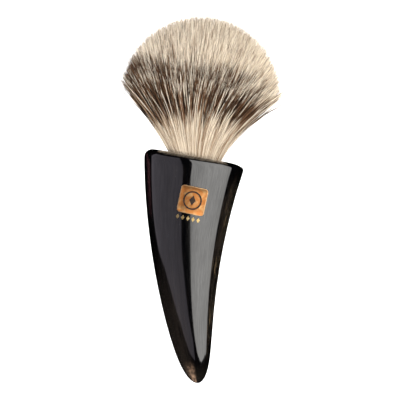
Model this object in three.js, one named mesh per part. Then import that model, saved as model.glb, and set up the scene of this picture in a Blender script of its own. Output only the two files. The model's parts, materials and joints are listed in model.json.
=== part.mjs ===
// Shaving brush: a curved, pointed horn handle with a bulb-shaped hair knot, lying on its side.
// Millimetres. +Z is up, and +Y runs from the point of the horn to the crown of the hair.
//
// Every piece is laid out in the brush's own frame first: the middle of the handle's top face is the
// origin, X runs across the badge, Y up the handle and Z out of the badge side. The whole brush is then
// tipped about X until the horn and the hair both touch the floor.
import * as THREE from "three";

const degrees = THREE.MathUtils.degToRad;
const { lerp } = THREE.MathUtils;

// Horn handle. Its centre line is one arc, and its oval section tapers evenly until the point rounds off.
const hornLength = 90;
const hornArcRadius = 265;
const hornLean = degrees(8.8);
const hornHalfWidth = 20.4;
const hornTaper = 0.1685;
const hornDepthRatio = 0.86;
const tipFullness = 16;
const hornSides = 48;
const hornSideRings = 16;
const hornTipRings = 8;
const tipShare = 0.14;

// Top face of the horn, which is cut a little steeper than square, and its rounded rim.
const landLean = degrees(10.2);
const landSkewReach = 12;
const landStripRadius = 13.4;
const rimDrop = { left: 3.3, right: 2.4 };
const rimInset = { left: 4, right: 6.4, front: 3.6 };
const rimRings = 5;

// Blind socket in the top face, and the knot's hidden parts, one inside the next.
const socketRadius = 12.1;
const socketDepth = 14;
const fitGap = 0.2;
const turnedSides = 40;
const adhesiveWall = 0.35;
const adhesiveFloor = 0.5;
const adhesiveTop = -0.4;
const cupWall = 0.7;
const cupFloor = 0.8;
const cupTop = -0.6;
const resinWall = 1;
const resinFloor = 2.2;
const resinHeight = 3.6;

// Hair knot: a bound butt, a cone that opens above the handle, and a dome.
const hairSides = 40;
const hairLean = degrees(5);
const hairBendReach = 12;
const buttRadius = 9.25;
const waistRadius = 9;
const waistLow = -8.1;
const waistHigh = -2.6;
const mouthRadius = 10.75;
const hairConeSlope = 0.842;
const shoulderHeight = 22.6;
const domeRadius = 31.5;
const domeCentre = 24;
const domeStart = degrees(6);
const coneRings = 5;
const shoulderRings = 3;
const domeRings = 10;
const hairSettle = 1.3;

// Binding thread round the waist of the butt.
const threadRadius = 0.45;
const threadTurns = 4;
const threadPitch = 1.05;
const threadSides = 6;
const threadStepsPerTurn = 18;

// Badge and the row of lozenges under it, bedded on the curved front of the horn.
const badgeAt = new THREE.Vector2(-0.87, -17.4);
const badgeLean = degrees(12);
const badgeSide = 10.8;
const badgeCorner = 1.3;
const badgeThickness = 0.4;
const filmMargin = 0.4;
const filmThickness = 0.1;
const layerGap = 0.05;
const inlayThickness = 0.1;
const inlayRing = { outer: 3.7, inner: 3.1 };
const inlayLozenge = { width: 2.6, height: 4 };
const foilAt = new THREE.Vector2(-2.7, -24.4);
const foilLozenge = { width: 1.4, height: 2 };
const foilCount = 5;
const foilPitch = 2.05;

// Materials.
function finish(color, roughness, metalness = 0) {
  return new THREE.MeshStandardMaterial({ color, roughness, metalness });
}

function piece(name, geometry, material) {
  const mesh = new THREE.Mesh(geometry, material);
  mesh.name = name;
  return mesh;
}

// Closed skin over a list of rings with the same number of points. With two poles it is a capped body,
// and without them the last ring joins the first. The faces are turned outwards at the end.
function skin(rings, startPole, endPole) {
  const count = rings[0].length;
  const points = rings.flat();
  const triangles = [];
  const bands = startPole ? rings.length - 1 : rings.length;
  for (let band = 0; band < bands; band += 1) {
    const here = band * count;
    const there = ((band + 1) % rings.length) * count;
    for (let j = 0; j < count; j += 1) {
      const k = (j + 1) % count;
      triangles.push([here + j, here + k, there + k], [here + j, there + k, there + j]);
    }
  }
  if (startPole) {
    const last = (rings.length - 1) * count;
    const start = points.push(startPole) - 1;
    const end = points.push(endPole) - 1;
    for (let j = 0; j < count; j += 1) {
      const k = (j + 1) % count;
      triangles.push([start, k, j], [end, last + j, last + k]);
    }
  }
  const volume = triangles.reduce((sum, [a, b, c]) => {
    return sum + points[a].dot(new THREE.Vector3().crossVectors(points[b], points[c]));
  }, 0);
  const outward = volume < 0 ? triangles.map(([a, b, c]) => [a, c, b]) : triangles;
  const geometry = new THREE.BufferGeometry().setFromPoints(points);
  geometry.setIndex(outward.flat());
  return geometry;
}

// The horn's own shape: s is the distance down its centre line from the top face.
function halfWidth(s) {
  return (hornHalfWidth - hornTaper * s) * Math.sqrt(1 - (s / hornLength) ** tipFullness);
}

function leanAt(s) {
  const skew = (landLean - hornLean) * Math.max(0, 1 - s / landSkewReach);
  return hornLean - s / hornArcRadius + skew;
}

const arcCentre = new THREE.Vector2(Math.cos(hornLean), -Math.sin(hornLean)).multiplyScalar(hornArcRadius);

function centreLine(s) {
  const lean = hornLean - s / hornArcRadius;
  const x = arcCentre.x - hornArcRadius * Math.cos(lean);
  const y = arcCentre.y + hornArcRadius * Math.sin(lean);
  return new THREE.Vector3(x, y, 0);
}

// A point of the section at s: across and out are distances from the centre line.
function sectionPoint(s, across, out) {
  const lean = leanAt(s);
  return centreLine(s).add(new THREE.Vector3(across * Math.cos(lean), -across * Math.sin(lean), out));
}

function hornRing(makePoint) {
  return Array.from({ length: hornSides }, (_, j) => makePoint((2 * Math.PI * j) / hornSides));
}

function circleRing(s, radius) {
  return hornRing((angle) => sectionPoint(s, radius * Math.cos(angle), radius * Math.sin(angle)));
}

// How far the rim drops and how far it reaches inwards, which differ round the top face.
function rimAt(angle) {
  const toRight = (1 + Math.cos(angle)) / 2;
  const side = lerp(rimInset.left, rimInset.right, toRight);
  return {
    drop: lerp(rimDrop.left, rimDrop.right, toRight),
    inset: lerp(rimInset.front, side, Math.cos(angle) ** 2),
  };
}

function ovalPoint(s, angle, inset) {
  const width = halfWidth(s);
  const across = width * Math.cos(angle);
  const out = width * hornDepthRatio * Math.sin(angle);
  const share = 1 - inset / Math.hypot(across, out);
  return sectionPoint(s, share * across, share * out);
}

function rimRing(turn) {
  return hornRing((angle) => {
    const { drop, inset } = rimAt(angle);
    return ovalPoint(drop * (1 - Math.cos(turn)), angle, inset * (1 - Math.sin(turn)));
  });
}

function sideRing(share) {
  return hornRing((angle) => {
    const start = rimAt(angle).drop;
    return ovalPoint(lerp(start, hornLength * (1 - tipShare), share), angle, 0);
  });
}

function tipRing(share) {
  const s = hornLength * (1 - tipShare + tipShare * Math.sin((share * Math.PI) / 2));
  return hornRing((angle) => ovalPoint(s, angle, 0));
}

function shares(count) {
  return Array.from({ length: count }, (_, i) => (i + 1) / count);
}

function hornGeometry() {
  const socketFloor = knotPoint(0, -socketDepth);
  const floorRing = hornRing((angle) => {
    return knotPoint(socketRadius * Math.cos(angle), -socketDepth, socketRadius * Math.sin(angle));
  });
  const rings = [
    floorRing,
    circleRing(0, socketRadius),
    circleRing(0, landStripRadius),
    rimRing(0),
    ...shares(rimRings).map((share) => rimRing((share * Math.PI) / 2)),
    ...shares(hornSideRings).map(sideRing),
    ...shares(hornTipRings).slice(0, -1).map(tipRing),
  ];
  return skin(rings, socketFloor, centreLine(hornLength));
}

// Everything in the socket is turned about the socket's axis, which is square to the top face.
function knotPoint(across, up, out = 0) {
  const x = across * Math.cos(landLean) + up * Math.sin(landLean);
  const y = up * Math.cos(landLean) - across * Math.sin(landLean);
  return new THREE.Vector3(x, y, out);
}

function turned(profile, sides) {
  return new THREE.LatheGeometry(profile.map(([r, y]) => new THREE.Vector2(r, y)), sides);
}

function cup(radius, wall, bottom, floor, top) {
  const profile = [
    [0, bottom],
    [radius, bottom],
    [radius, top],
    [radius - wall, top],
    [radius - wall, bottom + floor],
    [0, bottom + floor],
  ];
  return turned(profile, turnedSides);
}

// Side of the loft: a straight cone, a short rounded shoulder, then the dome up to the crown.
function loftProfile() {
  const cone = [0, ...shares(coneRings)].map((share) => {
    const y = share * shoulderHeight;
    return [mouthRadius + hairConeSlope * y, y];
  });
  const [shoulderRadius] = cone.at(-1);
  const foot = [domeRadius * Math.cos(domeStart), domeCentre + domeRadius * Math.sin(domeStart)];
  const shoulder = new THREE.QuadraticBezierCurve(
    new THREE.Vector2(shoulderRadius, shoulderHeight),
    new THREE.Vector2(domeRadius, domeCentre),
    new THREE.Vector2(...foot),
  );
  const rounded = shoulder.getPoints(shoulderRings).slice(1).map((point) => [point.x, point.y]);
  const dome = shares(domeRings).slice(0, -1).map((share) => {
    const angle = lerp(domeStart, Math.PI / 2, share);
    return [domeRadius * Math.cos(angle), domeCentre + domeRadius * Math.sin(angle)];
  });
  return [...cone, ...rounded, ...dome, [0, domeCentre + domeRadius]];
}

function hairGeometry(butt) {
  const profile = [
    [0, butt],
    [buttRadius, butt],
    [buttRadius, waistLow - fitGap],
    [waistRadius, waistLow],
    [waistRadius, waistHigh],
    [mouthRadius - fitGap, cupTop],
    ...loftProfile(),
  ];
  const geometry = turned(profile, hairSides);
  const position = geometry.getAttribute("position");
  const middle = new THREE.Vector2();
  for (let i = 0; i < position.count; i += 1) {
    const above = Math.max(0, position.getY(i));
    const bend = (landLean - hairLean) * Math.min(1, above / hairBendReach);
    const bent = new THREE.Vector2(position.getX(i), position.getY(i)).rotateAround(middle, bend);
    position.setXY(i, bent.x, bent.y);
  }
  return geometry;
}

function threadGeometry() {
  const coilRadius = waistRadius + fitGap + threadRadius;
  const steps = threadTurns * threadStepsPerTurn;
  const coilLow = (waistLow + waistHigh - threadTurns * threadPitch) / 2;
  const route = Array.from({ length: steps + 1 }, (_, i) => {
    const turn = i / threadStepsPerTurn;
    const angle = 2 * Math.PI * turn;
    const y = coilLow + turn * threadPitch;
    return new THREE.Vector3(coilRadius * Math.cos(angle), y, coilRadius * Math.sin(angle));
  });
  const section = new THREE.Shape(new THREE.Path().absarc(0, 0, threadRadius, 0, 2 * Math.PI)
    .getSpacedPoints(threadSides).slice(0, -1));
  return new THREE.ExtrudeGeometry(section, {
    extrudePath: new THREE.CatmullRomCurve3(route),
    steps,
    bevelEnabled: false,
  });
}

// A point over the badge side of the horn, lifted straight out of it.
function frontPoint(x, y, lift) {
  const fromCentre = new THREE.Vector2(x, y).sub(arcCentre);
  const s = (hornLean - Math.atan2(fromCentre.y, -fromCentre.x)) * hornArcRadius;
  const across = hornArcRadius - fromCentre.length();
  const width = halfWidth(s);
  return new THREE.Vector3(x, y, hornDepthRatio * Math.sqrt(width ** 2 - across ** 2) + lift);
}

function onFront(outline, at, share, lift) {
  return outline.map((point) => {
    const placed = point.clone().multiplyScalar(share).rotateAround(new THREE.Vector2(), -badgeLean).add(at);
    return frontPoint(placed.x, placed.y, lift);
  });
}

// A thin solid plate that follows the curve of the horn.
function plate(outline, at, lift, thickness) {
  const spread = shares(3);
  const rings = [
    ...spread.map((share) => onFront(outline, at, share, lift)),
    ...spread.reverse().map((share) => onFront(outline, at, share, lift + thickness)),
  ];
  return skin(rings, frontPoint(at.x, at.y, lift), frontPoint(at.x, at.y, lift + thickness));
}

function band(outline, at, innerShare, lift, thickness) {
  const top = lift + thickness;
  return skin([
    onFront(outline, at, innerShare, lift),
    onFront(outline, at, 1, lift),
    onFront(outline, at, 1, top),
    onFront(outline, at, innerShare, top),
  ]);
}

function roundedSquare(side, corner) {
  const reach = side / 2 - corner;
  const shape = new THREE.Path();
  for (let i = 0; i < 4; i += 1) {
    const start = (i * Math.PI) / 2;
    const middle = start + Math.PI / 4;
    const x = reach * Math.SQRT2 * Math.cos(middle);
    const y = reach * Math.SQRT2 * Math.sin(middle);
    shape.absarc(x, y, corner, start, start + Math.PI / 2, false);
  }
  shape.closePath();
  return shape.getSpacedPoints(48).slice(0, -1);
}

function circle(radius) {
  return new THREE.Path().absarc(0, 0, radius, 0, 2 * Math.PI).getSpacedPoints(32).slice(0, -1);
}

function lozenge({ width, height }) {
  const corners = [[width / 2, 0], [0, height / 2], [-width / 2, 0], [0, -height / 2]];
  const shape = new THREE.Path(corners.map(([x, y]) => new THREE.Vector2(x, y)));
  shape.closePath();
  return shape.getSpacedPoints(8).slice(0, -1);
}

// The brush put together.
const brush = new THREE.Group();
const handle = piece("horn_handle", hornGeometry(), finish(0x17130f, 0.12));
brush.add(handle);

const knot = new THREE.Group();
knot.rotation.z = -landLean;
brush.add(knot);

const adhesiveBottom = -socketDepth + fitGap;
const adhesiveRadius = socketRadius - fitGap;
const adhesive = cup(adhesiveRadius, adhesiveWall, adhesiveBottom, adhesiveFloor, adhesiveTop);
knot.add(piece("socket_adhesive", adhesive, finish(0xc9b98a, 0.3)));

const cupBottom = adhesiveBottom + adhesiveFloor + fitGap;
const cupRadius = adhesiveRadius - adhesiveWall - fitGap;
const knotCup = cup(cupRadius, cupWall, cupBottom, cupFloor, cupTop);
knot.add(piece("knot_cup", knotCup, finish(0x1b1b1d, 0.5)));

const resinBottom = cupBottom + cupFloor + fitGap;
const resinRadius = cupRadius - cupWall - fitGap;
const resin = cup(resinRadius, resinWall, resinBottom, resinFloor, resinBottom + resinHeight);
knot.add(piece("resin_plug", resin, finish(0x8a6a35, 0.25)));

knot.add(piece("binding_thread", threadGeometry(), finish(0xe6dfcd, 0.8)));

const hairButt = resinBottom + resinFloor + fitGap;
const hair = piece("hair_knot", hairGeometry(hairButt), finish(0xd2c6b2, 0.8));
knot.add(hair);

const film = roundedSquare(badgeSide - 2 * filmMargin, badgeCorner);
brush.add(piece("badge_adhesive", plate(film, badgeAt, layerGap, filmThickness), finish(0xd8d2c0, 0.4)));

const badgeLift = layerGap + filmThickness + layerGap;
const badge = plate(roundedSquare(badgeSide, badgeCorner), badgeAt, badgeLift, badgeThickness);
brush.add(piece("badge_plate", badge, finish(0xbe8950, 0.35, 1)));

const inlayLift = badgeLift + badgeThickness + layerGap;
const dark = finish(0x2e2118, 0.4);
const ringShare = inlayRing.inner / inlayRing.outer;
const ring = band(circle(inlayRing.outer), badgeAt, ringShare, inlayLift, inlayThickness);
brush.add(piece("badge_ring_inlay", ring, dark));
const centre = plate(lozenge(inlayLozenge), badgeAt, inlayLift, inlayThickness);
brush.add(piece("badge_lozenge_inlay", centre, dark));

for (let i = 0; i < foilCount; i += 1) {
  const offset = new THREE.Vector2((i - (foilCount - 1) / 2) * foilPitch, 0);
  const at = offset.rotateAround(new THREE.Vector2(), -badgeLean).add(foilAt);
  const foil = plate(lozenge(foilLozenge), at, layerGap, inlayThickness);
  brush.add(piece(`foil_lozenge_${i + 1}`, foil, finish(0xd0a050, 0.3, 1)));
}

// Lying down: the tip angle at which the horn and the slightly flattened hair reach the floor together.
function worldPoints(mesh) {
  const position = mesh.geometry.getAttribute("position");
  return Array.from({ length: position.count }, (_, i) => {
    return new THREE.Vector3().fromBufferAttribute(position, i).applyMatrix4(mesh.matrixWorld);
  });
}

function lowest(mesh) {
  return Math.min(...worldPoints(mesh).map((point) => point.z));
}

function tipBrush(angle) {
  brush.rotation.x = angle;
  brush.updateMatrixWorld(true);
}

function restAngle() {
  let [low, high] = [0, degrees(30)];
  for (let i = 0; i < 40; i += 1) {
    const middle = (low + high) / 2;
    tipBrush(middle);
    [low, high] = lowest(hair) + hairSettle < lowest(handle) ? [middle, high] : [low, middle];
  }
  return (low + high) / 2;
}

// Hair that would reach through the floor is pressed flat against it.
function pressFlat(mesh, floor) {
  const position = mesh.geometry.getAttribute("position");
  const back = mesh.matrixWorld.clone().invert();
  worldPoints(mesh).forEach((point, i) => {
    point.z = Math.max(point.z, floor);
    point.applyMatrix4(back);
    position.setXYZ(i, point.x, point.y, point.z);
  });
}

tipBrush(restAngle());
pressFlat(hair, lowest(handle));
const box = new THREE.Box3().setFromObject(brush, true);
brush.position.set(-(box.min.x + box.max.x) / 2, -(box.min.y + box.max.y) / 2, -box.min.z);

export default brush;
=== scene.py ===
# %% [markdown]
# # A shaving brush with a horn handle
# This lesson dresses a shaving brush that lies on its side: a bowed point of polished black horn, a copper
# badge, and a bulb of badger hair. The solid parts arrive from the CAD model, already in place and at full
# size. Blender makes the fine surfaces, the finishes and the thousands of hairs.

import json
import math

import bpy
import numpy as np
from mathutils import Matrix, Vector
from mathutils.kdtree import KDTree


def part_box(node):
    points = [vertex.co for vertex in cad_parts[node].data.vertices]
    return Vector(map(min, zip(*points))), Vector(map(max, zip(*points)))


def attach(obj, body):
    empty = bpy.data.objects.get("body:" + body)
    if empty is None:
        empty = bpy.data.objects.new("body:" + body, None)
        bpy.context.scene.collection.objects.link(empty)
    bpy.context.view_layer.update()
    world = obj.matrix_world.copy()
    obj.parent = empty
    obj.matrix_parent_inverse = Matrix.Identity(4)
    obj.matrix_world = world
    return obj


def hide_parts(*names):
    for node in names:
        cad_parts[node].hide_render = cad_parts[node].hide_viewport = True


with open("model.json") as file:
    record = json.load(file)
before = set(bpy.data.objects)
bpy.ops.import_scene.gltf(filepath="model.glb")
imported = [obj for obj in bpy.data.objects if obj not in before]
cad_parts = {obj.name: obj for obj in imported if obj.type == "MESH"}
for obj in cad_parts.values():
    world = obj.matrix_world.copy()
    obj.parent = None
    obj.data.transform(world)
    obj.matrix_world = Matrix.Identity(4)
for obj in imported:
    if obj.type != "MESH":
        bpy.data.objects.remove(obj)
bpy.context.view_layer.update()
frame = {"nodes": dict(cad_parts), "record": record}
MM = 0.001

# %% [markdown]
# ## Directions on the brush
# The horn and the hair both touch the floor, so the handle slopes. The model carries one measured face, the
# flat top of the handle, and its direction gives the slope. Everything else here is placed along three
# directions of the brush: `RIGHT` across the badge, `UP` the handle, and `OUT` of the badge side.

# %% Directions and landmarks
stand_face = next(m for m in frame["record"]["mounts"] if m["name"] == "stand_fork_face")
LAND_NORMAL = Vector(stand_face["axis"]).normalized()
SLOPE = math.atan2(LAND_NORMAL.z, LAND_NORMAL.y)
RIGHT = Vector((1, 0, 0))
UP = Vector((0, math.cos(SLOPE), math.sin(SLOPE)))
OUT = Vector((0, -math.sin(SLOPE), math.cos(SLOPE)))


def middle_of(node):
    low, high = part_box(node)
    return (low + high) / 2


cup_middle = middle_of("knot_cup")
MOUTH = cup_middle + LAND_NORMAL * (Vector(stand_face["pos_m"]) - cup_middle).dot(LAND_NORMAL)
print("slope, degrees:", round(math.degrees(SLOPE), 2))
print("mouth, mm:", [round(c / MM, 1) for c in MOUTH])

# %% [markdown]
# ## Camera
# The camera looks square at the badge side with a long lens, from far enough away that the near and the
# far side of the hair keep the same size. Its frame is a little taller than the brush. It aims at a point
# given in millimetres to the right of the mouth of the handle and down from it.

# %% Camera
FRAME_HEIGHT = 158 * MM
CAMERA_DISTANCE = 1.3
SENSOR = 36
AIM_RIGHT = 2.05
AIM_DOWN = 17.2

aim = MOUTH + (RIGHT * AIM_RIGHT - UP * AIM_DOWN) * MM
bpy.ops.object.select_all(action="DESELECT")
bpy.ops.object.camera_add(location=aim + OUT * CAMERA_DISTANCE, rotation=(SLOPE, 0, 0))
camera = bpy.context.object
camera.data.sensor_width = SENSOR
camera.data.lens = SENSOR * CAMERA_DISTANCE / FRAME_HEIGHT
camera.data.clip_start = 0.01
bpy.context.scene.camera = camera
print("lens, mm:", round(camera.data.lens), "aim, mm:", [round(c / MM, 1) for c in aim])

# %% [markdown]
# ## Writing finishes as expressions
# A finish is a small graph of nodes. `Wire` stands for one socket and turns Python's own `+`, `-` and `*`
# into Math nodes, so a pattern reads like a formula. `Finish` owns the material and makes every other node.

# %% Shader helpers
class Wire:
    """One output socket, which can be used in sums."""

    def __init__(self, finish, socket):
        self.finish = finish
        self.socket = socket

    def __add__(self, other):
        return self.finish.maths("ADD", self, other)

    def __radd__(self, other):
        return self.finish.maths("ADD", other, self)

    def __sub__(self, other):
        return self.finish.maths("SUBTRACT", self, other)

    def __rsub__(self, other):
        return self.finish.maths("SUBTRACT", other, self)

    def __mul__(self, other):
        return self.finish.maths("MULTIPLY", self, other)

    def __rmul__(self, other):
        return self.finish.maths("MULTIPLY", other, self)

    def step(self, low, high):
        """0 below low, 1 above high, and a smooth rise between them."""
        sockets = {"Value": self, "From Min": low, "From Max": high}
        return self.finish.node("ShaderNodeMapRange", {"interpolation_type": "SMOOTHSTEP"}, sockets)


class Finish:
    """A material with a Principled shader, and the nodes that feed it."""

    def __init__(self, name, **sockets):
        self.material = bpy.data.materials.new(name)
        self.material.use_nodes = True
        self.tree = self.material.node_tree
        self.shader = self.tree.nodes["Principled BSDF"]
        self.set(**sockets)

    def feed(self, socket, value):
        if isinstance(value, Wire):
            self.tree.links.new(value.socket, socket)
        else:
            socket.default_value = value

    def set(self, **sockets):
        """Sets the shader's own sockets: base_color stands for Base Color, and so on."""
        for name, value in sockets.items():
            self.feed(self.shader.inputs[name.replace("_", " ").title().replace("Ior", "IOR")], value)

    def node(self, kind, settings=None, sockets=None, output=0):
        made = self.tree.nodes.new(kind)
        for name, value in (settings or {}).items():
            setattr(made, name, value)
        for name, value in (sockets or {}).items():
            self.feed(made.inputs[name], value)
        return Wire(self, made.outputs[output])

    def maths(self, operation, first, second):
        return self.node("ShaderNodeMath", {"operation": operation}, {0: first, 1: second})

    def mix(self, share, first, second):
        """A colour between two colours."""
        return self.node("ShaderNodeMix", {"data_type": "RGBA"}, {0: share, 6: first, 7: second}, 2)

    def split(self, vector):
        """The three numbers of a vector."""
        first = self.node("ShaderNodeSeparateXYZ", None, {"Vector": vector})
        return [Wire(self, socket) for socket in first.socket.node.outputs]

    def attribute(self, name, output="Fac"):
        return self.node("ShaderNodeAttribute", {"attribute_name": name}, output=output)

    def place_on(self, scale=(1, 1, 1), turn=(0, 0, 0), vector=None):
        """Object coordinates, or another vector, turned and stretched."""
        vector = vector or self.node("ShaderNodeTexCoord", output="Object")
        return self.node("ShaderNodeMapping", None, {"Vector": vector, "Rotation": turn, "Scale": scale})

    def noise(self, vector, scale, detail=2.0, roughness=0.5):
        sockets = {"Vector": vector, "Scale": scale, "Detail": detail, "Roughness": roughness}
        return self.node("ShaderNodeTexNoise", None, sockets)

    def bump(self, height, strength, distance):
        sockets = {"Height": height, "Strength": strength, "Distance": distance}
        self.set(normal=self.node("ShaderNodeBump", None, sockets))


def rgb(red, green, blue):
    """A colour given as the eye sees it, 0 to 255, as the shader's linear numbers."""
    def linear(value):
        value /= 255
        return value / 12.92 if value <= 0.04045 else ((value + 0.055) / 1.055) ** 2.4
    return (linear(red), linear(green), linear(blue), 1)


# %% [markdown]
# ## Light
# Polished black horn shows little but what it mirrors, so the light makes most of its look. The long grey
# reflections could be painted on, but then they would stay put when the brush is turned. So two glowing
# paper screens are bent round the brush, a strong one on the right and a dim one on the left, with a dark
# gap between them. Their lower edges are cut on a slant, so the two reflections narrow towards the point.
#
# Each screen is a row of columns. A column has its angle from straight above the badge, its lower and upper
# end, and how strongly it glows, because paper lit from one side is never quite even. The left paper is
# faintly violet and the right one faintly warm.

# %% Screens that the horn mirrors
SCREEN_REACH = 0.55
SCREEN_TOP = 0.5


def store(mesh, name, values, kind="FLOAT"):
    """Keeps one value, or one vector, for each vertex."""
    made = mesh.attributes.new(name, kind, "POINT")
    made.data.foreach_set("vector" if kind == "FLOAT_VECTOR" else "value", np.float32(values).ravel())


def screen(name, columns, radiance, tint):
    """A glowing screen bent round the brush. Angles are in degrees towards the right, heights in metres."""
    bpy.ops.mesh.primitive_grid_add(x_subdivisions=len(columns) - 1, y_subdivisions=1, size=2)
    made = bpy.context.object
    made.name = name
    strengths = []
    for vertex in made.data.vertices:
        angle, low, high, strength = columns[round((vertex.co.x + 1) / 2 * (len(columns) - 1))]
        strengths.append(strength)
        turn = math.radians(angle)
        away = RIGHT * math.sin(turn) + OUT * math.cos(turn)
        vertex.co = aim + away * SCREEN_REACH + UP * (high if vertex.co.y > 0 else low)
    store(made.data, "strength", strengths)
    glow = Finish(name, roughness=1.0, emission_strength=radiance, base_color=(0, 0, 0, 1))
    glow.set(emission_color=glow.mix(glow.attribute("strength"), (0, 0, 0, 1), tint))
    made.data.materials.append(glow.material)
    made.visible_camera = False
    made.visible_shadow = False
    print(name, "columns:", len(columns))


screen(
    "screen_left",
    [
        (-107, -0.07, SCREEN_TOP, 1.0),
        (-103, -0.10, SCREEN_TOP, 1.0),
        (-96, -0.13, SCREEN_TOP, 0.96),
        (-78, -0.168, SCREEN_TOP, 0.9),
        (-62, -0.213, SCREEN_TOP, 0.87),
        (-40, -0.265, SCREEN_TOP, 0.87),
        (-27, -0.31, SCREEN_TOP, 0.74),
        (-26, -0.31, -0.06, 0.74),
        (-16, -0.34, -0.18, 0.78),
        (8, -0.37, -0.26, 0.74),
    ],
    radiance=0.414,
    tint=(1.0, 0.93, 1.06, 1),
)
screen(
    "screen_right",
    [
        (-5, -0.14, SCREEN_TOP, 0.88),
        (11, -0.195, SCREEN_TOP, 0.83),
        (19, -0.25, SCREEN_TOP, 0.89),
        (29, -0.29, SCREEN_TOP, 0.97),
        (41, -0.315, SCREEN_TOP, 1.0),
        (52, -0.305, SCREEN_TOP, 1.0),
        (65, -0.26, SCREEN_TOP, 0.96),
        (77, -0.215, SCREEN_TOP, 0.86),
        (83, -0.205, SCREEN_TOP, 0.78),
        (88.5, -0.195, SCREEN_TOP, 0.75),
    ],
    radiance=2.24,
    tint=(1.0, 0.985, 0.955, 1),
)

# %% [markdown]
# The hair needs more light than the screens give. It comes from soft lamps that the horn doesn't mirror. The
# room is dark and the floor stays out of the reflections too, which leaves the edges of the horn black.

# %% Lamps, room and floor
def soft_lamp(name, angle, distance, size, watts):
    """A square lamp over the brush, turned to face it."""
    turn = math.radians(angle)
    away = RIGHT * math.sin(turn) + OUT * math.cos(turn)
    side = UP.cross(away).normalized()
    facing = Matrix((side, away.cross(side), away)).transposed().to_euler()
    bpy.ops.object.light_add(type="AREA", location=aim + away * distance, rotation=facing)
    lamp = bpy.context.object
    lamp.name = name
    lamp.data.size = size
    lamp.data.energy = watts
    lamp.visible_camera = False
    lamp.visible_glossy = False
    print(name, "watts:", watts)


soft_lamp("lamp_left", angle=-36, distance=0.5, size=0.25, watts=2.8)
soft_lamp("lamp_front", angle=24, distance=0.8, size=0.3, watts=3.7)

world = bpy.data.worlds.new("dark_room")
world.use_nodes = True
world.node_tree.nodes["Background"].inputs["Color"].default_value = (0, 0, 0, 1)
bpy.context.scene.world = world
bpy.context.scene.view_settings.view_transform = "Standard"

FLOOR_SIZE = 6
bpy.ops.mesh.primitive_plane_add(size=FLOOR_SIZE, location=(0, 0, 0))
floor = bpy.context.object
floor.name = "floor"
floor.visible_glossy = False
print("floor, m:", FLOOR_SIZE)

# %% [markdown]
# The floor is a plain pale board. It gives off a little light of its own, as a lit table does, so the
# brush's shadow stays faint. A round white tent closes off the view beyond it and lights nothing.

# %% Floor finish
board = Finish("pale_board", roughness=0.9, emission_strength=0.95)
board_cloud = board.noise(board.place_on(), 6)
board.set(base_color=board.mix(board_cloud, rgb(226, 226, 226), rgb(232, 232, 232)))
board.set(emission_color=(1, 1, 1, 1))
floor.data.materials.append(board.material)

bpy.ops.mesh.primitive_uv_sphere_add(radius=FLOOR_SIZE / 2, location=(0, 0, 0))
tent = bpy.context.object
tent.name = "tent"
tent.data.materials.append(board.material)
tent.visible_diffuse = tent.visible_glossy = tent.visible_shadow = False
print("board nodes:", len(board.tree.nodes))

# %% [markdown]
# ## Horn handle
# The handle is one solid piece of horn, bored for the hair. It could be lofted again along its bow, but the
# CAD handle already has the right sizes and only shows flat facets. So a copy of it is welded, its triangles
# are paired into quads, and a subdivision modifier rounds the facets away. That keeps every size and gives
# the smooth surface that a polished handle needs.

# %% A smooth copy of a CAD node
WELD = 0.005 * MM
HANDLE_LEVELS = 2


def copy_of(node, name):
    """A welded copy of a CAD node with quads for faces, selected and active."""
    bpy.ops.object.select_all(action="DESELECT")
    frame["nodes"][node].select_set(True)
    bpy.context.view_layer.objects.active = frame["nodes"][node]
    bpy.ops.object.duplicate()
    piece = bpy.context.object
    piece.name = name
    piece.data.name = name
    piece.parent = None
    for key in [key for key in piece.keys() if key.startswith("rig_")]:
        del piece[key]
    piece.data.materials.clear()
    bpy.ops.object.mode_set(mode="EDIT")
    bpy.ops.mesh.select_all(action="SELECT")
    bpy.ops.mesh.remove_doubles(threshold=WELD)
    bpy.ops.mesh.tris_convert_to_quads(face_threshold=math.radians(40), shape_threshold=math.radians(60))
    bpy.ops.object.mode_set(mode="OBJECT")
    return piece


def keep(piece, finish, slot, *nodes):
    """Gives a finished piece its material and its place in the brush."""
    piece.data.materials.append(finish.material)
    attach(piece, "root")
    if nodes:
        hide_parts(*nodes)
    print(piece.name, "faces:", len(piece.data.polygons))


def subdivide(piece, levels):
    """Rounds the facets of a quad mesh away."""
    modifier = piece.modifiers.new("round", "SUBSURF")
    modifier.levels = modifier.render_levels = levels
    bpy.context.view_layer.objects.active = piece
    bpy.ops.object.modifier_apply(modifier=modifier.name)
    bpy.ops.object.shade_smooth()


handle = copy_of("horn_handle", "handle")
subdivide(handle, HANDLE_LEVELS)
print("handle vertices:", len(handle.data.vertices))

# %% [markdown]
# ## The grain of the horn
# Horn grows in long fibres that run together towards the point. A pattern on plain coordinates would run
# straight off the tapered sides. So each point of the handle keeps where it lies across and through its own
# slice of the horn, from -1 to 1, and how far down it is. A pattern on those numbers narrows with the horn.

# %% Grain coordinates
GRAIN_SLICES = 60


def grain_of(mesh, slices=GRAIN_SLICES):
    """For each vertex, its place across and through its slice of the horn, and its distance down in mm."""
    points = np.array([v.co for v in mesh.vertices]) - np.array(MOUTH)
    right, up, out = (points @ np.array(axis) / MM for axis in (RIGHT, UP, OUT))
    edges = np.linspace(up.min(), up.max(), slices + 1)
    slot = np.clip(np.digitize(up, edges) - 1, 0, slices - 1)
    centre = (edges[:-1] + edges[1:]) / 2
    used = [i for i in range(slices) if (slot == i).any()]
    place_in = []
    for values in (right, out):
        low = np.array([values[slot == i].min() for i in used])
        high = np.array([values[slot == i].max() for i in used])
        middle = np.interp(up, centre[used], (low + high) / 2)
        half = np.interp(up, centre[used], (high - low) / 2)
        place_in.append((values - middle) / half)
    return np.stack([place_in[0], place_in[1], -up], axis=1)


grain_numbers = grain_of(handle.data)
store(handle.data, "grain", grain_numbers, "FLOAT_VECTOR")
print("grain, from and to:", grain_numbers.min(axis=0).round(2), grain_numbers.max(axis=0).round(2))

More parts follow.
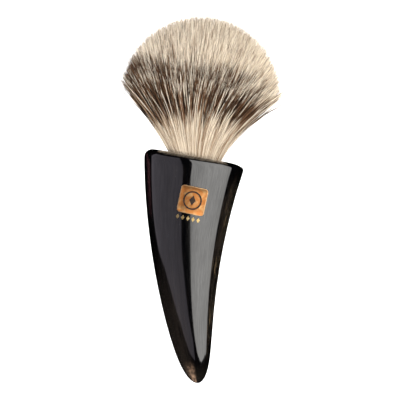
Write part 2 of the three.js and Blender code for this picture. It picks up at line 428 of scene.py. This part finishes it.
# %% [markdown]
# ## Horn finish
# The finish is almost black under a clear polish, so it is a coated shader with a very dark base. Fine fibres
# change the gloss a little. Brown and golden fibres show along the right edge, a faint red one along the
# left, and the solid point is thin enough to let mottled brown through; that pale brown on the lower left of
# the point is also a painted highlight. Each is a mask, worked out from the grain numbers, and a colour that
# the mask mixes in.

# %% Horn finish
horn = Finish("polished_horn", coat_ior=1.7, coat_roughness=0.03, ior=1.6)
grain = horn.attribute("grain", "Vector")
across, through, down = horn.split(grain)

# Fibres are noise that is squeezed across the grain and stretched along it.
fibres = horn.noise(horn.place_on((14, 14, 0.05), vector=grain), 1.6, 4, 0.6)
fine_fibres = horn.noise(horn.place_on((30, 30, 0.09), vector=grain), 1.5, 3, 0.6)
clouds = horn.noise(horn.place_on((1.2, 1.2, 0.05), vector=grain), 1.7, 2)
black = horn.mix(fibres.step(0.45, 0.75), rgb(2, 2, 3), rgb(9, 7, 6))

# Brown fibres along the right edge, golden where the clouds let them through.
edge_zone = across.step(0.62, 0.86) * down.step(6, 22) * (1 - down.step(60, 84))
golden = fine_fibres.step(0.575, 0.67) * clouds.step(0.38, 0.56) * edge_zone
brown = horn.mix(fibres.step(0.4, 0.6) * edge_zone, black, rgb(34, 29, 25))
banded = horn.mix(golden, brown, rgb(118, 100, 74))

# One thin red line down the left edge, which has faded out a third of the way down.
red_line = (across + 0.94).step(-0.01, 0.02) * (-0.87 - across).step(-0.01, 0.02)
red_line = through.step(0, 0.2) * red_line * (26 - down).step(0, 12)
banded = horn.mix(red_line * fibres.step(0.3, 0.55), banded, rgb(42, 25, 27))

# A brown haze low on the left and over the whole point.
low_left = down.step(30, 75) * (0.1 - across).step(0.0, 0.6)
banded = horn.mix(low_left * fibres.step(0.25, 0.6), banded, rgb(27, 23, 20))
banded = horn.mix(down.step(80, 90) * 0.8, banded, rgb(26, 23, 20))

# The thin place in the point, mottled where it lets more brown through. The same pale brown on the lower left
# of the point is also a painted highlight.
tip_brown_and_highlight_zone = down.step(80, 88) * (0.1 - across).step(0, 0.4) * (across + 0.85).step(0, 0.6)
tip_mottle = horn.noise(horn.place_on((1100, 420, 1100), (0, 0, 0.6)), 1.0, 2).step(0.38, 0.66)
tip_share = tip_brown_and_highlight_zone * (0.3 + 0.7 * tip_mottle)
horn.set(base_color=horn.mix(tip_share, banded, rgb(146, 118, 97)))

horn.set(roughness=0.04 + fine_fibres * 0.06 + clouds * 0.04)
horn.set(coat_weight=0.35 + fine_fibres.step(0.3, 0.7) * 0.45 + clouds * 0.4)
horn.bump(fine_fibres * 0.6 + fibres * 0.4, 0.12, 0.05 * MM)
keep(handle, horn, "horn", "horn_handle")

# %% [markdown]
# ## Badge
# The badge is a thin copper plate bent to the curve of the horn. A copy of the CAD plate gets a raised
# border by an inset that sinks its middle, and a small bevel, so that its edge catches the light.

# %% Badge plate
SHARP_EDGE = math.radians(40)
BORDER = 0.45 * MM
BORDER_SLOPE = 0.10 * MM
BORDER_HEIGHT = 0.04 * MM
RIM_WIDTH = 0.6 * MM
BADGE_LEAN = math.radians(12)


def select_faces(piece, wanted):
    """Selects the faces that pass a test, in edit mode."""
    bpy.ops.object.mode_set(mode="OBJECT")
    for group in (piece.data.vertices, piece.data.edges, piece.data.polygons):
        group.foreach_set("select", np.zeros(len(group), bool))
    for face in piece.data.polygons:
        face.select = wanted(face)
    bpy.ops.object.mode_set(mode="EDIT")
    bpy.ops.mesh.select_mode(type="FACE")


def bevel_rim(piece, width, segments=3):
    """Rounds the sharp edges of a small plate."""
    modifier = piece.modifiers.new("rim", "BEVEL")
    modifier.width = width
    modifier.segments = segments
    modifier.limit_method = "ANGLE"
    modifier.angle_limit = SHARP_EDGE
    bpy.context.view_layer.objects.active = piece
    bpy.ops.object.modifier_apply(modifier=modifier.name)
    bpy.ops.object.shade_smooth_by_angle(angle=math.radians(12))


plate = copy_of("badge_plate", "badge")
select_faces(plate, lambda face: face.normal.dot(OUT) > 0.7)
bpy.ops.mesh.inset(thickness=BORDER, depth=0)
bpy.ops.mesh.inset(thickness=BORDER_SLOPE, depth=-BORDER_HEIGHT)
bpy.ops.object.mode_set(mode="OBJECT")
bevel_rim(plate, width=0.07 * MM)

badge_right = RIGHT * math.cos(BADGE_LEAN) - UP * math.sin(BADGE_LEAN)
badge_up = RIGHT * math.sin(BADGE_LEAN) + UP * math.cos(BADGE_LEAN)
plate_points = np.array([v.co for v in plate.data.vertices]) - np.array(middle_of("badge_plate"))
from_middle = np.maximum(abs(plate_points @ np.array(badge_right)), abs(plate_points @ np.array(badge_up)))
store(plate.data, "rim", np.clip(1 - (from_middle.max() - from_middle) / RIM_WIDTH, 0, 1))
print("badge, mm across:", round(2 * from_middle.max() / MM, 2))

# %% [markdown]
# ## Copper and gold
# The badge is satin copper that handling has worn, and the row below it is gold foil. Both are metals with
# the same kind of wear, so one function makes both: brushing that is too fine to model and lives in the
# gloss and a shallow bump, and paler patches where the metal is rubbed smooth. The copper is palest along
# its border, a painted highlight for the light that its raised edge catches, by the number that each point
# of the plate keeps for how near it is to the edge.

# %% Copper and gold finishes
BADGE_TURN = (-SLOPE, 0, 0)


def plated(name, colour, worn, roughness, painted_edge_highlight=None):
    """Satin metal with fine brushing, paler and smoother patches, and a pale edge, a painted highlight, if
    one is given.
    """
    finish = Finish(name, metallic=1.0)
    brushed = finish.noise(finish.place_on((900, 9000, 900), BADGE_TURN), 1.0, 2)
    patches = finish.noise(finish.place_on((500, 500, 500), BADGE_TURN), 1.0, 3)
    mask = patches.step(0.42, 0.68)
    shade = finish.mix(mask * 0.7 + brushed * 0.3, colour, worn)
    if painted_edge_highlight:
        # The pale edge is a painted highlight: the light that the raised rim of the plate catches.
        edge_highlight_mask = finish.attribute("rim").step(0.1, 0.9)
        shade = finish.mix(edge_highlight_mask * 0.8, shade, painted_edge_highlight)
    finish.set(base_color=shade)
    finish.set(roughness=roughness + brushed * 0.12 - mask * 0.05)
    finish.bump(brushed, 0.15, 0.01 * MM)
    return finish


# The copper's pale edge colour is a painted highlight along the rim of the badge.
copper = plated("satin_copper", rgb(204, 126, 64), rgb(228, 182, 124), 0.42, painted_edge_highlight=rgb(232, 196, 150))
gold = plated("gold_foil", rgb(218, 184, 120), rgb(236, 210, 156), 0.32)
keep(plate, copper, "copper_plate", "badge_plate")

# %% [markdown]
# A ring and a lozenge of dark enamel lie in the plate, and a row of gold lozenges sits under it. They are
# plain shapes that stand for no maker. Their CAD shapes are right already, so each copy only gets a tiny
# bevel, which keeps its edge from looking cut out of paper.

# %% Inlays and lozenges
enamel = Finish("dark_enamel", ior=1.35)
enamel_cloud = enamel.noise(enamel.place_on((1500, 1500, 1500)), 1.0, 3)
enamel.set(base_color=enamel.mix(enamel_cloud, rgb(30, 22, 17), rgb(46, 35, 27)))
enamel.set(roughness=0.4 + enamel_cloud * 0.15)


def small_plate(node, name, finish, slot):
    """A bevelled copy of one inlay or lozenge."""
    piece = copy_of(node, name)
    bevel_rim(piece, width=0.03 * MM, segments=2)
    keep(piece, finish, slot, node)


small_plate("badge_ring_inlay", "badge_ring", enamel, "dark_enamel")
small_plate("badge_lozenge_inlay", "badge_lozenge", enamel, "dark_enamel")
for number in range(1, 6):
    small_plate(f"foil_lozenge_{number}", f"gold_lozenge_{number}", gold, "gold_foil")

# %% [markdown]
# ## Hidden parts
# The knot sits in the handle in a moulded cup, bound with thread and set in resin. These parts are out of
# sight in the finished brush, so their CAD solids keep their own shape and only need a finish.

# %% Hidden part finishes
def mottled(name, first, second, scale, roughness, **sockets):
    """A finish whose colour and gloss drift gently over the piece."""
    finish = Finish(name, **sockets)
    drift = finish.noise(finish.place_on((scale, scale, scale)), 1.0, 3)
    finish.set(base_color=finish.mix(drift, first, second))
    finish.set(roughness=roughness + drift * 0.15)
    return finish


glue = mottled("set_glue", rgb(74, 60, 40), rgb(52, 42, 28), 300, 0.25)
moulding = mottled("black_moulding", rgb(24, 24, 26), rgb(34, 33, 33), 900, 0.4)
amber = mottled("amber_resin", rgb(138, 98, 48), rgb(110, 74, 34), 250, 0.15)
linen = mottled("waxed_linen", rgb(226, 218, 196), rgb(200, 188, 158), 2500, 0.6)
for node, finish in (
    ("socket_adhesive", glue),
    ("badge_adhesive", glue),
    ("knot_cup", moulding),
    ("resin_plug", amber),
    ("binding_thread", linen),
):
    slots = frame["nodes"][node].data.materials
    slots.clear()
    slots.append(finish.material)
    print(node, "is", finish.material.name)

# %% [markdown]
# ## One hair
# A badger hair is round and about a tenth of a millimetre thick. Particle hair would be quick, but it isn't
# a mesh, and thousands of round tubes have too many faces. So a hair here is a closed tube of three sides,
# and about three times as thick as the real one, so that fewer of them fill the knot. It is modelled once,
# along Z from 0 to 1, with rings that let it bend. Every hair of the knot is a copy of it, bent along a path
# of its own.

# %% Model one hair
HAIR_RINGS = 8

bpy.ops.object.select_all(action="DESELECT")
bpy.ops.mesh.primitive_cylinder_add(vertices=3, radius=1, depth=1, location=(0, 0, 0.5))
pattern = bpy.context.object
bpy.ops.object.transform_apply(location=True)
bpy.ops.object.mode_set(mode="EDIT")
bpy.ops.mesh.select_mode(type="EDGE")
bpy.ops.mesh.select_all(action="DESELECT")
bpy.ops.object.mode_set(mode="OBJECT")
for edge in pattern.data.edges:
    first, second = (pattern.data.vertices[i].co for i in edge.vertices)
    edge.select = abs(first.z - second.z) > 0.5
bpy.ops.object.mode_set(mode="EDIT")
bpy.ops.mesh.subdivide(number_cuts=HAIR_RINGS - 2)
bpy.ops.object.mode_set(mode="OBJECT")

hair_points = np.array([v.co for v in pattern.data.vertices])
hair_ring = np.rint(hair_points[:, 2] * (HAIR_RINGS - 1)).astype(int)
hair_faces = [list(face.vertices) for face in pattern.data.polygons]
bpy.data.objects.remove(pattern)
print("one hair: vertices", len(hair_points), "faces", len(hair_faces))

# %% [markdown]
# ## Where each hair goes
# A real knot is packed by hand in a shaped cup, so its tips end on a smooth bulb. A simulation could settle
# the hairs, but a formula gives the same bulb on every run. The bulb's shape comes from the CAD hair: a ball
# whose middle and size its box gives. Hairs start evenly spread in the butt, pass the mouth of the handle,
# and fan out so that their tips cover the ball evenly. A hair near the rim of the mouth leans the most and
# is the shortest. Chance moves each one a little, always from the same seed.

# %% Shape of the knot
knot_low, knot_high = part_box("hair_knot")
BALL_RADIUS = (knot_high.x - knot_low.x) / 2 * 1.004
ball_across = (knot_low.x + knot_high.x) / 2
BALL_MIDDLE = Vector((ball_across, knot_high.y - BALL_RADIUS, knot_high.z - BALL_RADIUS))
KNOT_AXIS = (BALL_MIDDLE - MOUTH).normalized()
KNOT_SIDE = KNOT_AXIS.cross(OUT).normalized()
MOUTH_SIDE = LAND_NORMAL.cross(OUT).normalized()
print("ball radius, mm:", round(BALL_RADIUS / MM, 1))
print("ball middle above the mouth, mm:", round((BALL_MIDDLE - MOUTH).length / MM, 1))

HAIRS = 24000
PIECES = 6
MOUTH_REACH = 10.5 * MM
WAIST_REACH = 8.7 * MM
BUTT_LEVEL = -9.6 * MM
WAIST_LEVEL = -3.0 * MM
WIDEST_ANGLE = math.radians(86)
GOLDEN_TURN = math.pi * (3 - math.sqrt(5))
SEED = 23

rng = np.random.default_rng(SEED)


def scattered(spread, size=HAIRS):
    """Random numbers around 0, one for each hair unless told otherwise."""
    return rng.normal(0, spread, size)


order = (np.arange(HAIRS) + 0.5) / HAIRS
root_share = np.clip(np.sqrt(order) + scattered(0.02), 0, 1)
turn = np.arange(HAIRS) * GOLDEN_TURN
tip_turn = turn + scattered(0.05)
tip_share = np.clip(np.sqrt(order) + scattered(0.025), 0, 1.02)
lean = np.arccos(1 - (1 - math.cos(WIDEST_ANGLE)) * tip_share**2)


def around(side, out, angle, reach):
    """Points round an axis: angle 0 is to the right and a quarter turn is towards the badge side."""
    ring = np.cos(angle)[:, None] * np.array(side) + np.sin(angle)[:, None] * np.array(out)
    return ring * np.asarray(reach)[:, None]


mouth_points = np.array(MOUTH) + around(MOUTH_SIDE, OUT, turn, root_share * MOUTH_REACH)
waist_middle = np.array(MOUTH + LAND_NORMAL * WAIST_LEVEL)
waist_points = waist_middle + around(MOUTH_SIDE, OUT, turn, root_share * WAIST_REACH)
butt_points = waist_points + np.array(LAND_NORMAL) * (BUTT_LEVEL - WAIST_LEVEL)

# Most tips end close to the ball, and a few well inside it.
tip_reach = BALL_RADIUS * (1.002 + scattered(0.014) - 0.08 * (rng.random(HAIRS) ** 3))
tip_points = (
    np.array(BALL_MIDDLE)
    + around(KNOT_SIDE, OUT, tip_turn, np.sin(lean) * tip_reach)
    + np.array(KNOT_AXIS) * (np.cos(lean) * tip_reach)[:, None]
)

# %% [markdown]
# ## Clumps
# Neighbouring hairs cling together in tufts of a few, and some hairs stray. A smooth even bulb would look
# moulded. So each hair joins the nearest of some thousands of leading hairs, its tip moves towards the
# leader's tip, and later the tuft shares part of its shade. A few hairs stand out of the bulb, and about a
# hundred fly away at its two sides.

# %% Clumps and stray hairs
CLUMPS = 9000
STRAY_SHARE = 0.03
EARS = (  # the side of the knot, how many hairs fly away there, and how far at most, in mm
    (1, 50, 8),
    (-1, 70, 3.5),
)

leaders = rng.choice(HAIRS, CLUMPS, replace=False)
tree = KDTree(CLUMPS)
for number, leader in enumerate(leaders):
    tree.insert(tip_points[leader], number)
tree.balance()
clump_of = np.array([tree.find(point)[1] for point in tip_points])
pull = 0.6 * rng.random(CLUMPS)[clump_of][:, None]
tip_points += (tip_points[leaders][clump_of] - tip_points) * pull
tip_points += scattered(0.35 * MM, (CLUMPS, 3))[clump_of]

stray = rng.random(HAIRS) < STRAY_SHARE
tip_points += scattered(1.0 * MM, (HAIRS, 3)) * np.where(stray, 1.6, 0.4)[:, None]

for side_sign, count, reach in EARS:
    at_ear = np.flatnonzero((side_sign * np.cos(turn) > 0.8) & (tip_share > 0.9))
    flyaways = rng.choice(at_ear, count, replace=False)
    tip_points[flyaways] += around(KNOT_SIDE, OUT, turn[flyaways], rng.uniform(1, reach, count) * MM)
print("hairs in the largest tuft:", np.bincount(clump_of).max(), "stray hairs:", stray.sum())

# %% [markdown]
# ## The path of a hair
# A hair leaves the mouth close to the direction of the handle and then curves out to its tip, with a slight
# wave of its own. A quadratic curve with one bending point between the mouth and the tip does that with
# little arithmetic. The brush lies on the floor, so a path that would pass through it is laid on it.

# %% Paths of the hairs
STEPS = np.linspace(0, 1, HAIR_RINGS - 2)
FAN_AT_MOUTH = 0.50
BEND_HEIGHT = 0.36
WAVE_SIZE = 0.2 * MM


def hair_paths():
    """The path of every hair: butt, waist, then a gentle curve from the mouth to the tip."""
    length = np.linalg.norm(tip_points - mouth_points, axis=1)[:, None]
    spread = root_share * FAN_AT_MOUTH + np.where(stray, 0.16, 0.03) * rng.random(HAIRS)
    start_way = np.array(UP) + around(RIGHT, OUT, turn, spread)
    bend = mouth_points + start_way * length * BEND_HEIGHT
    along = STEPS[None, :, None]
    curve = (
        mouth_points[:, None] * (1 - along) ** 2
        + bend[:, None] * 2 * along * (1 - along)
        + tip_points[:, None] * along**2
    )
    wave_way = scattered(1.0, (HAIRS, 3))
    wave_way /= np.linalg.norm(wave_way, axis=1)[:, None]
    wave = np.sin(along[..., 0] * rng.uniform(2.5, 6, HAIRS)[:, None] + rng.uniform(0, 6.3, HAIRS)[:, None])
    size = rng.gamma(2.0, WAVE_SIZE, HAIRS)
    curve += wave_way[:, None] * (wave * along[..., 0] * size[:, None])[..., None]
    paths = np.concatenate([butt_points[:, None], waist_points[:, None], curve], axis=1)
    settle = rng.uniform(0.05, 0.6, HAIRS)[:, None] * MM
    paths[..., 2] = np.maximum(paths[..., 2], settle)
    return paths


paths = hair_paths()
hair_length = np.linalg.norm(np.diff(paths, axis=1), axis=2).sum(axis=1)
print("hair length, mm:", round(hair_length.min() / MM, 1), "to", round(hair_length.max() / MM, 1))

# %% [markdown]
# ## Hair colour
# Badger hair is pale at the root, dark across the middle and pale again at the tip. A colour stored at each
# ring would blur the band, because a hair has few rings. So each hair keeps its own numbers: how far along
# a point is, where its dark band starts and ends, how dark, how warm and how pale it is. The material turns
# them into colour between the rings too, so the band is sharp.

# %% Colour numbers of each hair
def rise(value, low, high):
    """0 below low, 1 above high, and a smooth rise between them."""
    share = np.clip((value - low) / (high - low), 0, 1)
    return share * share * (3 - 2 * share)


def shared(clump_part):
    """A number from 0 to 1 for each hair, part of it shared by its clump."""
    return clump_part * rng.random(CLUMPS)[clump_of] + (1 - clump_part) * rng.random(HAIRS)


outer = rise(lean, math.radians(50), math.radians(74))
left_side = rise(-np.cos(turn), 0, 1)
right_side = rise(np.cos(turn), 0.3, 1)

# The band starts lower at the two sides, and in a few hairs much lower: those hairs are partly their own dark
# and partly painted shade for the dark gaps between strands near the mouth.
band_low = 0.63 - 0.15 * left_side - 0.12 * right_side
band_low += scattered(0.06) + scattered(0.08, CLUMPS)[clump_of]
band_low -= 0.25 * (rng.random(HAIRS) < 0.04)

# It runs further up in the outermost hairs, less so on the right, and in a few others.
band_high = 0.685 + 0.40 * outer + 0.05 * left_side - 0.24 * right_side
band_high += scattered(0.05) + scattered(0.09, CLUMPS)[clump_of]
band_high += 0.3 * (rng.random(HAIRS) < 0.06)

# Some hairs have no dark band at all, fewer of them at the two sides.
depth = shared(0.3)
dark = np.where(depth < 0.345 - 0.14 * np.abs(np.cos(turn)), 0.0, 0.9 + 0.3 * depth)
warm = shared(0.15) ** 2
# How pale a hair is, half shared by its tuft. Its darker end is partly the hair's own tone and partly painted
# shade for the gaps between tufts.
pale = rise(shared(0.5), 0.1, 0.75)
numbers = {"band_low": band_low, "band_high": band_high, "dark": dark, "warm": warm, "pale": pale}
print("hairs with a dark band:", (dark > 0).sum(), "of", HAIRS)

# %% [markdown]
# ## Hair finish
# Clean dry hair is satin, a little duller towards the worn tip. Blender's own hair shader is made for curves.
# These hairs are meshes, and a plain shader with the numbers of each hair is enough: two masks make the
# band, and three mixes give the dark, the pale root and the pale tip, in a shade that differs from hair to
# hair. The darker, browner end of the pale root and tip is partly the hair's own tone and partly painted
# shade for the gaps between tufts.

# %% Hair finish
fur = Finish("badger_hair", roughness=0.5, ior=1.45)
along = fur.attribute("along")
in_band = (along - fur.attribute("band_low")).step(-0.05, 0.09)
in_band = in_band * (fur.attribute("band_high") - along).step(-0.04, 0.05)
dark_hair = fur.mix(fur.attribute("warm"), rgb(22, 17, 14), rgb(134, 96, 66))
# The darker, browner end of the pale root and tip colours is partly painted shade between tufts.
pale_root = fur.mix(fur.attribute("pale"), rgb(150, 124, 98), rgb(228, 214, 192))
pale_tip = fur.mix(fur.attribute("pale").step(0, 0.6), rgb(132, 98, 66), rgb(252, 240, 219))
pale_hair = fur.mix(along.step(0.5, 0.9), pale_root, pale_tip)
fur.set(base_color=fur.mix(in_band * fur.attribute("dark"), pale_hair, dark_hair))
fur.set(roughness=0.42 + along * 0.15)
print(fur.material.name, "nodes:", len(fur.tree.nodes))

# %% [markdown]
# ## Growing the knot
# Copying the model hair thousands of times with an operator would be very slow, so the copies are worked out
# in arrays. For every hair, the model hair is laid along its path: a ring's points go round the path at that
# ring's thickness. A hair is finest at its tip and thickest a little above its middle. Each of the six
# pieces of the knot holds a sixth of the hairs, from the core outwards, so no mesh grows too large.

# %% Grow the hairs
HAIR_RADIUS = 0.16 * MM
BELOW_MOUTH = [-0.2, -0.06]
FLOOR_GAP = 0.01 * MM

ring_share = np.concatenate([BELOW_MOUTH, STEPS])
thickness = HAIR_RADIUS * (0.6 + 0.4 * rise(ring_share, 0, 0.5)) * (1 - 0.86 * rise(ring_share, 0.7, 1.0))
print("hair radius at each ring, mm:", (thickness / MM).round(3))


def grow(name, chosen):
    """One piece of the knot: a copy of the model hair along the path of each chosen hair."""
    path = paths[chosen]
    count = len(path)
    way = path[:, -1] - path[:, 2]
    way /= np.linalg.norm(way, axis=1)[:, None]
    side = np.cross(way, scattered(1.0, (count, 3)))
    side /= np.linalg.norm(side, axis=1)[:, None]
    other = np.cross(way, side)
    fat = rng.uniform(0.75, 1.25, count)[:, None, None]
    offset = hair_points[None, :, :1] * side[:, None] + hair_points[None, :, 1:2] * other[:, None]
    points = path[:, hair_ring] + offset * thickness[hair_ring][None, :, None] * fat
    points[..., 2] = np.maximum(points[..., 2], FLOOR_GAP)
    size = len(hair_points)
    faces = [
        [corner + hair * size for corner in face]
        for hair in range(count)
        for face in hair_faces
    ]
    mesh = bpy.data.meshes.new(name)
    mesh.from_pydata(points.reshape(-1, 3), [], faces)
    store(mesh, "along", np.tile(ring_share[hair_ring], count))
    for key, values in numbers.items():
        store(mesh, key, np.repeat(values[chosen], size))
    piece = bpy.data.objects.new(name, mesh)
    bpy.context.scene.collection.objects.link(piece)
    mesh.shade_smooth()
    keep(piece, fur, "badger_hair", "hair_knot")


for number, chosen in enumerate(np.split(np.arange(HAIRS), PIECES), 1):
    grow(f"hair_bundle_{number}", chosen)
